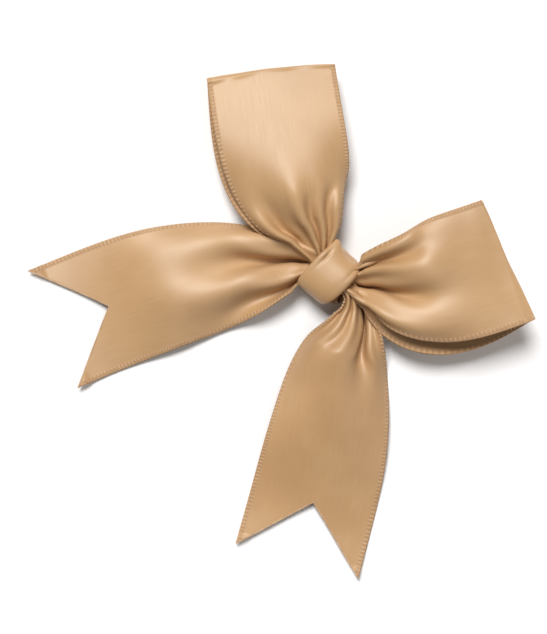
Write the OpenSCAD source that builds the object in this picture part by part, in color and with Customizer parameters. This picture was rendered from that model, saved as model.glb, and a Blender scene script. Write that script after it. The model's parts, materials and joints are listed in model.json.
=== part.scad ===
// Pre-made gift bow tied from one length of satin ribbon.
// The bow lies on its back. +Z points away from the gift, +Y points out between the two loops,
// and the origin is the middle of the knot's flat back.

/* [Ribbon] */
// width of the flat ribbon, selvedge to selvedge
ribbon_w = 25; // [15:1:40]
// thickness of one laid layer
ribbon_t = 0.6; // [0.3:0.1:0.8]
// distance from the knot over which a gathered arm opens out
gather_len = 7; // [4:0.5:12]

/* [Knot] */
// width of the wrap, along X
knot_w = 8.0; // [7:0.2:10]
// length of the wrap, from between the loops to between the tails
knot_d = 11.2; // [9:0.2:12]
// height of the knot
knot_h = 8.2; // [6:0.2:12]
// running gap where an arm turns against the knot
root_gap = 0.25; // [0.15:0.05:0.5]

/* [Left loop] */
// direction in which the loop points, from +X
left_loop_turn = 142.4; // [120:0.1:165]
// distance from the bend at the knot to the crease
left_loop_len = 32.8; // [22:0.1:50]
// rise of the crease above the bend
left_loop_rise = -1.4; // [-4:0.1:12]
// clear space between the two leaves at the widest
left_loop_gap = 6.6; // [2:0.1:8]

/* [Right loop] */
// direction in which the loop points, from +X
right_loop_turn = 51.4; // [15:0.1:60]
// distance from the bend at the knot to the crease
right_loop_len = 26.1; // [22:0.1:50]
// rise of the crease above the bend
right_loop_rise = 3.4; // [-4:0.1:12]
// clear space between the two leaves at the widest
right_loop_gap = 8.4; // [2:0.1:10]

/* [Left tail] */
// direction in which the tail points, from +X
left_tail_turn = 235.2; // [215:0.1:244]
// distance from the bend at the knot to the two tips
left_tail_len = 47.6; // [35:0.1:90]
// sideways sweep at mid length
left_tail_sweep = -2.1; // [-6:0.1:6]

/* [Right tail] */
// direction in which the tail points, from +X
right_tail_turn = 299.2; // [296:0.1:325]
// distance from the bend at the knot to the two tips
right_tail_len = 49.4; // [35:0.1:90]
// sideways sweep at mid length
right_tail_sweep = 1.4; // [-6:0.1:6]

/* [Tail ends] */
// depth of the V cut in the end of a tail
notch_depth = 12; // [5:0.5:20]
// height of the soft wave along a tail
tail_wave = 1.4; // [0:0.1:4]

/* [Hidden] */
$fn = 96;
loop_root_r = 1.7;
tail_root_r = 1.0;
loop_root_w = 4.8;
tail_root_w = 4.4;
left_loop_at = [-7.7, 3.0, 5.6];
right_loop_at = [7.7, 3.0, 5.6];
left_tail_at = [-7.2, -3.4, 1.75];
right_tail_at = [7.2, -3.4, 1.75];
// height of the knot's widest level
knot_mid = knot_h * 0.46;
// squareness of the knot's section; 1 is an oval
knot_square = 0.72;
// how far that section runs on below the level at which its back is cut flat
knot_below = 0.7;
// length of a neck, part of it inside the wrap
neck_len = 6.5;
back_w = 11;
back_d = 7.6;
// flat stretch of a loop at its bend and at its crease
flat_run = 1.2;
// how near the bend a loop is fullest, how full it is there, and how late it rises
belly_lean = 0.82;
belly_full = 0.9;
rise_power = 1.3;
// share of the gather over which the stacked pleats thin out
stack_share = 0.55;
// distance over which a tail comes down from its bend to the surface
settle_len = 8;
// stretches at the bend and at the tips where a tail lies without a wave
wave_from = 12;
wave_rest = 6;
// how far the cutter of the V stands past the tips
cut_past = 1;
// size of the blocks that shapes are cut out of
reach = 80;
steps = 36;

// ---- shapes that repeat ----

// Half the width of an arm at a distance x from its bend.
function half_width(x, root_w) =
  ribbon_w / 2 - (ribbon_w / 2 - root_w / 2) * exp(-max(x, 0) / gather_len);

// Thickness of a gathered layer: pleats stack where the arm is narrow.
function layer_t(x, root_t) =
  ribbon_t + (root_t - ribbon_t) * exp(-max(x, 0) / (gather_len * stack_share));

// Clear space between the leaves of a loop, closed at the bend and at the crease.
function loop_gap(x, len, gap) =
  let (a = max(0, min(1, (x - flat_run) / (len - 2 * flat_run))))
  gap * pow(sin(180 * pow(a, belly_lean)), belly_full);

// Height of the middle of a loop between its leaves.
function loop_mid(x, len, rise) = rise * pow(x / len, rise_power);

// Height of a tail's lower face above the surface the bow lies on.
function tail_base(x, len, root_z) =
  (root_z - tail_root_r) * exp(-pow(x / settle_len, 2))
  + tail_wave * pow(sin(180 * max(0, min(1, (x - wave_from) / (len - wave_from - wave_rest)))), 2);

// Sideways sweep of a tail's middle line.
function tail_mid(x, len, sweep) = sweep * sin(180 * max(0, min(1, x / len)));

// Plan outline of an arm, from the bend to a straight end.
module plan(len, root_w, sweep = 0) {
  polygon(concat(
    [for (i = [0:steps]) let (x = len * i / steps) [x, tail_mid(x, len, sweep) - half_width(x, root_w)]],
    [for (i = [steps:-1:0]) let (x = len * i / steps) [x, tail_mid(x, len, sweep) + half_width(x, root_w)]]
  ));
}

// Stands a side profile (x along the arm, y up) upright and makes it wider than any arm.
module upright() {
  rotate([90, 0, 0])
    linear_extrude(height = reach, center = true)
      children();
}

// Rounded root on which an arm turns; half = 1 keeps the upper half, -1 the lower half, 0 all of it.
module root(r, w, half = 0) {
  intersection() {
    rotate([90, 0, 0])
      cylinder(r = r, h = w, center = true);
    if (half == 0)
      cube([4 * r, 2 * w, 4 * r], center = true);
    else
      translate([0, 0, half * 2 * r])
        cube([4 * r, 2 * w, 4 * r], center = true);
  }
}

// One leaf of a loop; side = 1 is the front leaf and -1 the back leaf.
module leaf(len, rise, gap, side) {
  inner = [for (i = [0:steps]) let (x = len * i / steps)
    [x, loop_mid(x, len, rise) + side * loop_gap(x, len, gap) / 2]];
  outer = [for (i = [steps:-1:0]) let (x = len * i / steps)
    [x, loop_mid(x, len, rise)
      + side * (loop_gap(x, len, gap) / 2 + layer_t(x, loop_root_r))]];
  union() {
    root(loop_root_r, loop_root_w, side);
    intersection() {
      linear_extrude(height = reach, center = true)
        plan(len, loop_root_w);
      upright()
        polygon(concat(inner, outer));
    }
  }
}

// One tail with a V cut in its end.
module tail(len, sweep, root_z) {
  lower = [for (i = [0:steps]) let (x = len * i / steps)
    [x, tail_base(x, len, root_z) - root_z]];
  upper = [for (i = [steps:-1:0]) let (x = len * i / steps)
    [x, tail_base(x, len, root_z) - root_z + layer_t(x, 2 * tail_root_r)]];
  difference() {
    union() {
      root(tail_root_r, tail_root_w);
      intersection() {
        linear_extrude(height = reach, center = true)
          plan(len, tail_root_w, sweep);
        upright()
          polygon(concat(lower, upper));
      }
    }
    translate([len, 0, 0])
      linear_extrude(height = reach, center = true)
        polygon([[-notch_depth, 0], [cut_past, ribbon_w / 2 * (1 + cut_past / notch_depth)],
          [cut_past, -ribbon_w / 2 * (1 + cut_past / notch_depth)]]);
  }
}

// Places an arm at its bend on the knot.
module arm(at, turn) {
  translate(at)
    rotate([0, 0, turn])
      children();
}

// Cross-section of the knot, flat underneath: x along the knot's length, y up.
module knot_section(inset) {
  a = knot_d / 2 - inset;
  top = knot_h - knot_mid - inset;
  low = knot_mid - ribbon_t - inset;
  intersection() {
    polygon([for (i = [0:2 * steps - 1])
      let (c = cos(180 * i / steps), s = sin(180 * i / steps), tall = s > 0 ? top : low + knot_below)
      [a * sign(c) * pow(abs(c), knot_square), knot_mid + tall * sign(s) * pow(abs(s), knot_square)]]);
    translate([-knot_d, ribbon_t + inset])
      square([2 * knot_d, knot_h]);
  }
}

// Gathered strands between the knot and an arm's bend.
module neck(at, turn, r, root_r) {
  translate(at)
    rotate([0, 0, turn])
      rotate([0, -90, 0])
        translate([0, 0, root_r + root_gap])
          cylinder(r = r, h = neck_len);
}

// ---- sub-parts ----

// Band that runs over the front of the knot and round behind it.
module knot_wrap() {
  color([0.80, 0.65, 0.46])
    rotate([90, 0, 90])
      linear_extrude(height = knot_w, center = true)
        difference() {
          knot_section(0);
          knot_section(2 * ribbon_t);
        }
}

// Strands gathered inside the wrap, with the four necks that leave its mouths.
module knot_core() {
  color([0.66, 0.50, 0.33])
    union() {
      rotate([90, 0, 90])
        linear_extrude(height = knot_w, center = true)
          knot_section(2 * ribbon_t);
      difference() {
        union() {
          neck(left_loop_at, left_loop_turn, loop_root_r, loop_root_r);
          neck(right_loop_at, right_loop_turn, loop_root_r, loop_root_r);
          neck(left_tail_at, left_tail_turn, tail_root_r, tail_root_r);
          neck(right_tail_at, right_tail_turn, tail_root_r, tail_root_r);
        }
        cube([knot_w, 2 * knot_d, 4 * knot_h], center = true);
      }
    }
}

// Strand that crosses flat behind the knot; its back is the face that rests on the gift.
module knot_back() {
  color([0.72, 0.57, 0.39])
    translate([-back_w / 2, -back_d / 2, 0])
      cube([back_w, back_d, ribbon_t]);
}

module left_loop_front() {
  color([0.84, 0.70, 0.51])
    arm(left_loop_at, left_loop_turn)
      leaf(left_loop_len, left_loop_rise, left_loop_gap, 1);
}

module left_loop_back() {
  color([0.72, 0.57, 0.39])
    arm(left_loop_at, left_loop_turn)
      leaf(left_loop_len, left_loop_rise, left_loop_gap, -1);
}

module right_loop_front() {
  color([0.84, 0.70, 0.51])
    arm(right_loop_at, right_loop_turn)
      leaf(right_loop_len, right_loop_rise, right_loop_gap, 1);
}

module right_loop_back() {
  color([0.72, 0.57, 0.39])
    arm(right_loop_at, right_loop_turn)
      leaf(right_loop_len, right_loop_rise, right_loop_gap, -1);
}

module left_tail() {
  color([0.80, 0.65, 0.46])
    arm(left_tail_at, left_tail_turn)
      tail(left_tail_len, left_tail_sweep, left_tail_at[2]);
}

module right_tail() {
  color([0.80, 0.65, 0.46])
    arm(right_tail_at, right_tail_turn)
      tail(right_tail_len, right_tail_sweep, right_tail_at[2]);
}

knot_wrap();
knot_core();
knot_back();
left_loop_front();
left_loop_back();
right_loop_front();
right_loop_back();
left_tail();
right_tail();
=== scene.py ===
"""Looks of a gift bow tied from one length of satin ribbon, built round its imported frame.

The ribbon is modelled as cloth that never changes its width: every section across it is folded
into pleats until it spans the width that the knot leaves it, and opens out flat along the arm.
Lengths in the dataclasses are in millimetres; meshes are made in metres, in the frame's own axes.
"""

from __future__ import annotations

import json
import logging
import math
from dataclasses import dataclass
from enum import Enum

import bpy
import numpy as np
from mathutils import Matrix, Vector


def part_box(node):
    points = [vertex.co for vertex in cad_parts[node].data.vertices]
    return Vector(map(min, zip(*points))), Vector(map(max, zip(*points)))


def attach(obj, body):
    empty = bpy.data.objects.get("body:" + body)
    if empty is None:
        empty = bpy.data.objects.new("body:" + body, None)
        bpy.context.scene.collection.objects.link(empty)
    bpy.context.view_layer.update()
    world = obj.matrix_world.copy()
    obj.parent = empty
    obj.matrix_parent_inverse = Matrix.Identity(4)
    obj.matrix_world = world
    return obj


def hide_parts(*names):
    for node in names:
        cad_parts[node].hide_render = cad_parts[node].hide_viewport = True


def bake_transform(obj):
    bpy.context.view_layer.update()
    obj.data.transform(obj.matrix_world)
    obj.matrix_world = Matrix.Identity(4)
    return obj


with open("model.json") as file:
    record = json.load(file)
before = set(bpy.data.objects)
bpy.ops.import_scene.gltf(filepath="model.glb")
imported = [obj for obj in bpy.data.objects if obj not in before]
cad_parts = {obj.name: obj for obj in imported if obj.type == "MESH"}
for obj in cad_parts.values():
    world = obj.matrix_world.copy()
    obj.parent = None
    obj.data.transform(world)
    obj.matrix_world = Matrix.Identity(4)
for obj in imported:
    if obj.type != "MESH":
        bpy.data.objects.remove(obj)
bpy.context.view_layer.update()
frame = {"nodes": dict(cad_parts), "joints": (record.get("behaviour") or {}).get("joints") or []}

LOG = logging.getLogger("gift_bow")
MM = 0.001
RIBBON_UV = "ribbon"
CREASE = "crease"
UNDERSIDE = "underside"
# Steepest slope of a pleat's side, in degrees.
STEEPEST = 84.0
# Halvings of the search for a section's slope.
SLOPE_TRIES = 32
# Widest span of an arm's section, as a share of the ribbon's width, and its least wave.
WIDEST_SPAN = 0.998
LEAST_WAVE = 1e-3
# Size and sharpness of the small pleats that take up the cloth under a rolled band.
UNDER_PLEAT, UNDER_CRISP = 1.2, 4
# Least height of the cloth's middle above the surface.
CLEARANCE = 0.3
# Rows on either side over which a lift off the surface is spread.
LIFT_ROWS = 12
# Width of the lighter, rougher line along a pressed crease.
CREASE_WIDTH = 0.55
# Distance from the cloth's ends to the first modelled rib.
RIBS_FROM = 2.75
# Share of a float by which each yarn's binding points are set off from the next yarn's.
YARN_STAGGER = 0.4
# Distance from a float's middle at which its binding dip starts, in floats, and the dip's depth.
BINDING_FROM, BINDING_DEPTH = 0.38, 0.6
# How fine the yarn streaks are across and along the ribbon.
STREAK_SCALE = (5.0, 0.16, 1.0)
# Where the selvedge band fades into the satin, as shares of its width.
SELVEDGE_FADE = (0.85, 1.1)
# Fineness of the slow unevenness, per metre.
UNEVEN_SCALE = 70.0


class Layer(Enum):
    """The two leaves of a loop."""

    FRONT = 1.0
    BACK = -1.0


@dataclass(frozen=True)
class RibbonStock:
    """The ribbon as it comes off the roll."""

    width: float = 25.0
    thickness: float = 0.3
    selvedge: float = 1.0
    rib_pitch: float = 0.75
    columns: int = 97

    @property
    def across(self) -> np.ndarray:
        """Places of the mesh columns across the cloth, from the right edge to the left edge."""
        return np.linspace(-self.width / 2, self.width / 2, self.columns)


STOCK = RibbonStock()


# ---- measures and objects --------------------------------------------------------------------


def box_mm(node: str) -> tuple[np.ndarray, np.ndarray]:
    """Lowest and highest corner of a CAD node, in millimetres."""
    low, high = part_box(node)
    return np.array(low) / MM, np.array(high) / MM


def new_piece(name: str, mesh: bpy.types.Mesh) -> bpy.types.Object:
    """Makes an object of a mesh and puts it in the scene.

    Args:
        name: the object's name.
        mesh: its mesh.

    Returns:
        The new object.
    """
    piece = bpy.data.objects.new(name, mesh)
    bpy.context.scene.collection.objects.link(piece)
    return piece


# ---- cloth -----------------------------------------------------------------------------------


@dataclass(frozen=True)
class Pleat:
    """A family of pleats across the ribbon.

    Attributes:
        count: pleats across the whole width.
        valley: place of one valley, from the middle towards the left edge.
        weight: strength at the knot, against the other families.
        fade: distance over which the family dies away.
        spread: how far across the ribbon it reaches on either side of that valley.
    """

    count: float
    valley: float
    weight: float
    fade: float
    spread: float = 60.0


def smooth(value: np.ndarray | float, low: float, high: float) -> np.ndarray:
    """Smooth step from 0 at low to 1 at high."""
    part = np.clip((np.asarray(value, float) - low) / (high - low), 0, 1)
    return part * part * (3 - 2 * part)


def spot(value: np.ndarray, centre: float, width: float) -> np.ndarray:
    """Soft bump of height 1, down to about a third at its width from the centre."""
    return np.exp(-(((value - centre) / width) ** 2))


def unit(vectors: np.ndarray) -> np.ndarray:
    """Vectors of length 1 along the given ones, whose last axis holds x, y and z."""
    return vectors / np.maximum(np.linalg.norm(vectors, axis=-1, keepdims=True), 1e-12)


def running_sum(values: np.ndarray, step: float) -> np.ndarray:
    """Trapezoidal running integral along the last axis, starting at 0."""
    inner = (values[..., 1:] + values[..., :-1]) / 2 * step
    return np.concatenate([np.zeros((*values.shape[:-1], 1)), np.cumsum(inner, axis=-1)], axis=-1)


def fold_sections(
    spans: np.ndarray, waves: np.ndarray, crisp: np.ndarray
) -> tuple[np.ndarray, np.ndarray]:
    """Folds the ribbon's sections until each one spans its width.

    The cloth keeps its own width; only where the steepest pleats would still be too wide are they
    pressed together.

    Args:
        spans: width that each section has to span.
        waves: slope pattern of each section, between -1 and 1.
        crisp: how sharp the ridges of each section are.

    Returns:
        Place across and height of every column, centred on each section.
    """
    step = STOCK.across[1] - STOCK.across[0]
    pattern = np.tanh(crisp[:, None] * waves) / np.tanh(crisp[:, None])
    low = np.zeros(len(spans))
    high = np.full(len(spans), math.radians(STEEPEST))
    for _ in range(SLOPE_TRIES):
        middle = (low + high) / 2
        reached = running_sum(np.cos(middle[:, None] * pattern), step)[:, -1]
        low = np.where(reached > spans, middle, low)
        high = np.where(reached > spans, high, middle)
    slope = high[:, None] * pattern
    sideways = running_sum(np.cos(slope), step)
    height = running_sum(np.sin(slope), step)
    sideways *= np.minimum(1, spans / sideways[:, -1])[:, None]
    sideways -= sideways[:, -1:] / 2
    height -= height.mean(axis=1, keepdims=True)
    return sideways, height


def rest_on_surface(grid: np.ndarray) -> np.ndarray:
    """Lifts every section that would sink into the surface, without kinks along the ribbon.

    Args:
        grid: points [row, column, xyz].

    Returns:
        The lifted grid.
    """
    need = np.maximum(CLEARANCE - grid[..., 2].min(axis=1), 0)
    around = np.pad(need, 2 * LIFT_ROWS, mode="edge")
    highest = np.lib.stride_tricks.sliding_window_view(around, 2 * LIFT_ROWS + 1).max(axis=1)
    window = np.hanning(2 * LIFT_ROWS + 3)[1:-1]
    lift = np.convolve(highest, window / window.sum(), mode="valid")
    lifted = grid.copy()
    lifted[..., 2] += lift[:, None]
    return lifted


class Cloth:
    """A stretch of ribbon as a grid of points, with its places along and across the cloth."""

    def __init__(self, grid: np.ndarray, crease_at: float | None = None) -> None:
        """Measures the grid along its middle.

        Args:
            grid: points [row, column, xyz] in millimetres; the columns are STOCK.across.
            crease_at: row of a pressed crease, if there is one.
        """
        self.grid = grid
        middle = grid[:, grid.shape[1] // 2]
        steps = np.linalg.norm(np.diff(middle, axis=0), axis=1)
        along = np.concatenate([[0], np.cumsum(steps)])
        self.along = np.repeat(along[:, None], grid.shape[1], axis=1)
        self.crease_at = None if crease_at is None else np.interp(crease_at, range(len(along)), along)

    @property
    def length(self) -> float:
        """Length of the stretch along its middle."""
        return float(self.along.max())

    def cut(self, ends: np.ndarray, slack: float) -> None:
        """Cuts the far end to a shape, by moving the last rows back along the cloth.

        Args:
            ends: where the cloth ends, for each column.
            slack: length over which the rows are gathered towards the cut.
        """
        start = ends.min() - slack
        old = self.along[:, 0].copy()
        full = old[-1]
        for column in range(self.grid.shape[1]):
            part = np.maximum(old - start, 0) / (full - start)
            new = np.where(old < start, old, start + part * (ends[column] - start))
            for axis in range(3):
                self.grid[:, column, axis] = np.interp(new, old, self.grid[:, column, axis])
            self.along[:, column] = new

    def normals(self) -> np.ndarray:
        """Normals of the grid's points.

        Returns:
            Unit vectors [row, column, xyz] on the side of the ribbon's face.
        """
        lengthwise = np.gradient(self.grid, axis=0)
        crosswise = np.gradient(self.grid, axis=1)
        return unit(np.cross(lengthwise, crosswise))

    def spots(self, distances: np.ndarray, column: float) -> dict[str, np.ndarray]:
        """Points, directions and normals at places along one line of the cloth.

        Args:
            distances: places along the cloth.
            column: the line's column, which may lie between two.

        Returns:
            Arrays named point, forward and normal.
        """
        low = int(math.floor(column))
        part = column - low
        high = min(low + 1, self.grid.shape[1] - 1)
        fields = (self.along, self.grid, self.normals())
        along, line, upright = (v[:, low] * (1 - part) + v[:, high] * part for v in fields)

        def at(values: np.ndarray) -> np.ndarray:
            """Values [row, xyz] read at the distances."""
            return np.stack([np.interp(distances, along, values[:, k]) for k in range(3)], axis=1)

        forward = at(np.gradient(line, axis=0))
        return {"point": at(line), "forward": unit(forward), "normal": unit(at(upright))}

    def make(self, name: str) -> bpy.types.Object:
        """Gives the cloth its thickness and makes a closed mesh of it.

        Args:
            name: the piece's name.

        Returns:
            The new object, with its ribbon UV map, and crease and underside attributes.
        """
        rows, columns = self.grid.shape[:2]
        offset = self.normals() * STOCK.thickness / 2
        points = np.stack([self.grid + offset, self.grid - offset]).reshape(-1, 3)
        index = np.arange(rows * columns).reshape(rows, columns)
        below = index + rows * columns
        top = np.stack([index[:-1, :-1], index[1:, :-1], index[1:, 1:], index[:-1, 1:]], axis=-1)
        bottom = np.stack([below[:-1, :-1], below[:-1, 1:], below[1:, 1:], below[1:, :-1]], axis=-1)
        rim = np.concatenate([index[:, 0], index[-1, 1:], index[-2::-1, -1], index[0, -2:0:-1]])
        after = np.roll(rim, -1)
        walls = np.stack([after, rim, rim + rows * columns, after + rows * columns], axis=-1)
        faces = np.concatenate([top.reshape(-1, 4), bottom.reshape(-1, 4), walls])
        mesh = bpy.data.meshes.new(name)
        mesh.from_pydata((points * MM).tolist(), [], faces.tolist())
        mesh.polygons.foreach_set("use_smooth", np.arange(len(faces)) < len(faces) - len(walls))
        across = np.broadcast_to(STOCK.across, (rows, columns))
        flat = np.stack([across, self.along], axis=-1).reshape(-1, 2)
        flat = np.concatenate([flat, flat])
        corners = np.zeros(len(mesh.loops), np.int32)
        mesh.loops.foreach_get("vertex_index", corners)
        layer = mesh.uv_layers.new(name=RIBBON_UV)
        layer.data.foreach_set("uv", flat[corners].astype(np.float32).ravel())
        self._mark(mesh)
        piece = new_piece(name, mesh)
        mesh.validate()
        return piece

    def _mark(self, mesh: bpy.types.Mesh) -> None:
        """Stores where the crease and the underside are.

        Args:
            mesh: the mesh that make() builds.
        """
        count = self.along.size
        crease = np.zeros(count)
        if self.crease_at is not None:
            crease = spot(self.along, self.crease_at, CREASE_WIDTH).ravel()
        under = np.concatenate([np.zeros(count), np.ones(count)])
        for name, values in ((CREASE, np.concatenate([crease, crease])), (UNDERSIDE, under)):
            attribute = mesh.attributes.new(name, "FLOAT", "POINT")
            attribute.data.foreach_set("value", values.astype(np.float32))


# ---- node building helpers -------------------------------------------------------------------


class Nodes:
    """Short ways to add and join nodes in one tree."""

    def __init__(self, tree: bpy.types.NodeTree) -> None:
        """Keeps the tree to build in."""
        self.tree = tree

    def add(
        self, kind: str, inputs: dict[str | int, object] | None = None, **settings: object
    ) -> bpy.types.Node:
        """Adds a node, sets its properties and fills its inputs.

        Args:
            kind: the node's type name.
            inputs: input names or numbers, and what each one gets.
            settings: property names and values.

        Returns:
            The new node.
        """
        node = self.tree.nodes.new(kind)
        for name, value in settings.items():
            setattr(node, name, value)
        self.fill(node, inputs or {})
        return node

    def fill(self, node: bpy.types.Node, inputs: dict[str | int, object]) -> None:
        """Joins outputs to a node's inputs, or sets the inputs to plain values.

        Args:
            node: the node.
            inputs: input names or numbers, with an output socket, a number or a tuple for each.
        """
        for key, value in inputs.items():
            if isinstance(value, bpy.types.NodeSocket):
                self.tree.links.new(value, node.inputs[key])
            else:
                node.inputs[key].default_value = value

    def relief(
        self,
        size: tuple[float, float],
        height: bpy.types.NodeSocket,
        under: dict[str, object] | None = None,
    ) -> bpy.types.NodeSocket:
        """Adds a Bump node.

        Args:
            size: its strength, and its height in millimetres.
            height: the pattern of heights.
            under: the normal that it starts from, if there is one.

        Returns:
            The new normal.
        """
        strength, depth = size
        inputs = {"Strength": strength, "Distance": depth * MM, "Height": height, **(under or {})}
        return self.add("ShaderNodeBump", inputs).outputs[0]

    def end_geometry(self, geometry: bpy.types.NodeSocket, material: bpy.types.NodeSocket) -> None:
        """Ends a geometry tree: instances made real, smooth faces, and the material set.

        Args:
            geometry: what the tree has made.
            material: the tree's material input.
        """
        real = self.add("GeometryNodeRealizeInstances", {0: geometry})
        shade = self.add("GeometryNodeSetShadeSmooth", {0: real.outputs[0]})
        dress = self.add("GeometryNodeSetMaterial", {"Geometry": shade.outputs[0], "Material": material})
        self.add("NodeGroupOutput", {0: dress.outputs[0]})

    def math(self, operation: str, *values: object) -> bpy.types.NodeSocket:
        """Adds a Math node with its inputs in order, and gives its result."""
        node = self.add("ShaderNodeMath", dict(enumerate(values)), operation=operation)
        return node.outputs[0]

    def blend(self, factor: object, first: object, second: object) -> bpy.types.NodeSocket:
        """Adds a colour Mix node, which gives first at factor 0 and second at factor 1."""
        node = self.add("ShaderNodeMix", {"Factor": factor, 6: first, 7: second}, data_type="RGBA")
        return node.outputs[2]

    def span(
        self, value: object, low: float, high: float, start: float, end: float
    ) -> bpy.types.NodeSocket:
        """Adds a smooth Map Range node, which gives start at low and end at high."""
        inputs = {"Value": value, "From Min": low, "From Max": high, "To Min": start, "To Max": end}
        return self.add("ShaderNodeMapRange", inputs, interpolation_type="SMOOTHSTEP").outputs[0]


def colour(red: int, green: int, blue: int) -> tuple[float, float, float, float]:
    """A colour named by its sRGB values, as the linear value that a shader takes.

    Args:
        red: 0 to 255.
        green: 0 to 255.
        blue: 0 to 255.

    Returns:
        Linear red, green, blue and 1.
    """
    parts = [c / 255 for c in (red, green, blue)]
    linear = [c / 12.92 if c <= 0.04045 else ((c + 0.055) / 1.055) ** 2.4 for c in parts]
    return (*linear, 1.0)


def new_group(
    name: str, kind: str, inputs: dict[str, str], outputs: dict[str, str]
) -> tuple[bpy.types.NodeTree, Nodes, bpy.types.Node]:
    """Makes a node group with named sockets.

    Args:
        name: the group's name.
        kind: the tree type.
        inputs: names of the inputs, and the kind of value that each takes.
        outputs: names of the outputs, and the kind of value that each gives.

    Returns:
        The tree, a helper for it, and its input node.
    """
    tree = bpy.data.node_groups.new(name, kind)
    for direction, sockets in (("INPUT", inputs), ("OUTPUT", outputs)):
        for label, value in sockets.items():
            tree.interface.new_socket(name=label, in_out=direction, socket_type=f"NodeSocket{value}")
    nodes = Nodes(tree)
    return tree, nodes, nodes.add("NodeGroupInput")


def new_material(
    name: str, shown: tuple[float, float, float, float]
) -> tuple[bpy.types.Material, Nodes, bpy.types.Node]:
    """Makes a material with a node tree.

    Args:
        name: the material's name.
        shown: its plain colour.

    Returns:
        The material, a helper for its tree, and its shader.
    """
    material = bpy.data.materials.new(name)
    material.use_nodes = True
    material.diffuse_color = shown
    tree = material.node_tree
    return material, Nodes(tree), tree.nodes["Principled BSDF"]


# ---- finishes --------------------------------------------------------------------------------


def satin_weave_group() -> bpy.types.NodeTree:
    """Satin weave: long warp floats side by side, each bound down at staggered points.

    Returns:
        A group that takes the cloth's own coordinates in millimetres and gives the weave's height,
        a mask of the binding points and a mask of yarn streaks.
    """
    tree, nodes, source = new_group(
        "satin weave",
        "ShaderNodeTree",
        {"Cloth": "Vector", "Yarn": "Float", "Float Length": "Float"},
        {"Height": "Float", "Binding": "Float", "Streaks": "Float"},
    )
    place = nodes.add("ShaderNodeSeparateXYZ", {0: source.outputs["Cloth"]})
    yarns = nodes.math("DIVIDE", place.outputs["X"], source.outputs["Yarn"])
    number = nodes.math("FLOOR", yarns)
    inside = nodes.math("FRACT", yarns)
    ridge = nodes.math("SINE", nodes.math("MULTIPLY", inside, math.pi))
    step = nodes.math("MULTIPLY", number, YARN_STAGGER)
    floats = nodes.math("DIVIDE", place.outputs["Y"], source.outputs["Float Length"])
    turn = nodes.math("ADD", floats, step)
    near = nodes.math("ABSOLUTE", nodes.math("SUBTRACT", nodes.math("FRACT", turn), 0.5))
    binding = nodes.span(near, BINDING_FROM, 0.5, 0.0, 1.0)
    dip = nodes.math("SUBTRACT", 1.0, nodes.math("MULTIPLY", binding, BINDING_DEPTH))
    height = nodes.math("MULTIPLY", ridge, dip)
    stretch = nodes.add("ShaderNodeMapping", {"Vector": source.outputs["Cloth"], "Scale": STREAK_SCALE})
    streak = nodes.add("ShaderNodeTexNoise", {"Vector": stretch.outputs[0], "Scale": 1.0, "Detail": 4.0})
    nodes.add("NodeGroupOutput", {"Height": height, "Binding": binding, "Streaks": streak.outputs[0]})
    return tree


def edge_wear_group() -> bpy.types.NodeTree:
    """The ribbed bands along both edges of the ribbon, and a slow unevenness of its face.

    Returns:
        A group that gives masks for the selvedge, for its ribs and for the unevenness.
    """
    tree, nodes, source = new_group(
        "ribbon wear",
        "ShaderNodeTree",
        {"Cloth": "Vector", "Half Width": "Float", "Band": "Float", "Pitch": "Float"},
        {"Selvedge": "Float", "Rib": "Float", "Uneven": "Float"},
    )
    place = nodes.add("ShaderNodeSeparateXYZ", {0: source.outputs["Cloth"]})
    beside = nodes.math("ABSOLUTE", place.outputs["X"])
    from_edge = nodes.math("SUBTRACT", source.outputs["Half Width"], beside)
    share = nodes.math("DIVIDE", from_edge, source.outputs["Band"])
    selvedge = nodes.span(share, *SELVEDGE_FADE, 1.0, 0.0)
    pitches = nodes.math("DIVIDE", place.outputs["Y"], source.outputs["Pitch"])
    turns = nodes.math("MULTIPLY", pitches, 2 * math.pi)
    rib = nodes.math("ADD", nodes.math("MULTIPLY", nodes.math("SINE", turns), 0.5), 0.5)
    own = nodes.add("ShaderNodeTexCoord").outputs["Object"]
    slow = nodes.add("ShaderNodeTexNoise", {"Vector": own, "Scale": UNEVEN_SCALE, "Detail": 3.0})
    ribs = nodes.math("MULTIPLY", rib, selvedge)
    nodes.add("NodeGroupOutput", {"Selvedge": selvedge, "Rib": ribs, "Uneven": slow.outputs[0]})
    return tree


@dataclass(frozen=True)
class Change:
    """How one mask changes the satin.

    Attributes:
        tint: share of the tint that it mixes in.
        lighter: whether that is the light tint; otherwise it is the deep one.
        rough: what it adds to the roughness.
    """

    tint: float
    lighter: bool
    rough: float = 0.0


SATIN_CHANGES = {
    "streaks": Change(0.28, True, 0.06),
    "uneven": Change(0.22, False),
    "binding": Change(0.10, False),
    "selvedge": Change(0.30, False, 0.18),
    "rib": Change(0.45, True),
    "crease": Change(0.35, True, 0.08),
    "underside": Change(0.12, False, 0.07),
}


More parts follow.
